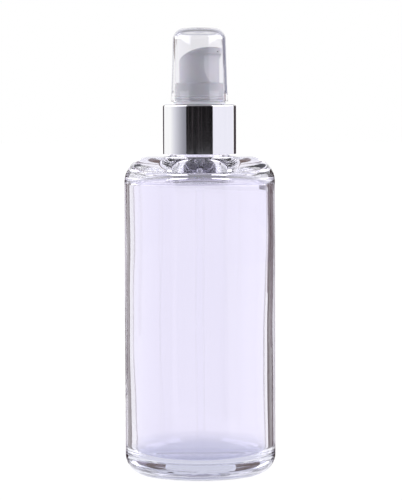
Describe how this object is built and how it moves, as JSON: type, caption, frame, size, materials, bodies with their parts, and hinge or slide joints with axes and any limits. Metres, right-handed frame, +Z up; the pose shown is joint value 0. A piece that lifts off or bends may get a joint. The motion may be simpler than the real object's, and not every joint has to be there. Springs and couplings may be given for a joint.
{
  "type": "foundation bottle with pump",
  "caption": "Clear thick-walled cylindrical glass bottle with a polished metal screw collar, a white dosing pump and a clear overcap.",
  "frame": {"origin": "centre of the bottle's underside, on the surface it stands on", "axes": "+Z up along the bottle's axis; the camera side is -Y; the nozzle points between +X and -Y at rest"},
  "size_m": [0.0566, 0.0566, 0.1675],
  "materials": {
    "bottle_glass": "clear, fire-polished",
    "gasket_foam": "soft matt",
    "closure_plastic": "moulded",
    "collar_metal": "mirror polished",
    "pump_white": "satin white",
    "housing_plastic": "natural, translucent",
    "ball_steel": "polished",
    "tube_plastic": "clear, flexible",
    "spring_steel": "drawn wire",
    "piston_plastic": "smooth",
    "overcap_clear": "crystal clear"
  },
  "bodies": {
    "bottle": {"glass_bottle": "bottle_glass"},
    "pump_core": {"pump_housing": "housing_plastic", "guide_ring": "pump_white", "neck_gasket": "gasket_foam", "ball_retainer": "housing_plastic", "dip_tube": "tube_plastic", "spring": "spring_steel"},
    "closure": {"screw_closure": "closure_plastic", "collar_shell": "collar_metal"},
    "valve_plug": {"valve_plug": "housing_plastic"},
    "head": {"stem": "housing_plastic", "press_head": "pump_white"},
    "piston": {"piston": "piston_plastic"},
    "inlet_ball": {"inlet_ball": "ball_steel"},
    "overcap": {"overcap": "overcap_clear"}
  },
  "joints": [
    {"name": "pump_rise", "type": "slide", "parent": "bottle", "child": "pump_core", "axis": [0, 0, 1], "range_m": [0, 0.004]},
    {"name": "closure_turn", "type": "hinge", "parent": "pump_core", "child": "closure", "pos_m": [0, 0, 0.13], "axis": [0, 0, 1], "range_deg": [0, 450]},
    {"name": "head_press", "type": "slide", "parent": "pump_core", "child": "valve_plug", "axis": [0, 0, 1], "range_m": [-0.0042, 0], "stiffness_N_per_m": 1000, "springref_m": 0.004, "deforming": ["spring"]},
    {"name": "head_swivel", "type": "hinge", "parent": "valve_plug", "child": "head", "pos_m": [0, 0, 0.15], "axis": [0, 0, 1], "continuous": true},
    {"name": "piston_slide", "type": "slide", "parent": "pump_core", "child": "piston", "axis": [0, 0, 1], "range_m": [-0.00361, 0]},
    {"name": "inlet_ball_lift", "type": "slide", "parent": "pump_core", "child": "inlet_ball", "axis": [0, 0, 1], "range_m": [0, 0.0012]},
    {"name": "overcap_lift", "type": "slide", "parent": "pump_core", "child": "overcap", "axis": [0, 0, 1], "range_m": [0, 0.03]}
  ],
  "couplings": [
    {"joint": "pump_rise", "follows": "closure_turn", "m_per_rad": 0.00050532},
    {"joint": "piston_slide", "follows": "head_press", "ratio": 0.85714}
  ]
}
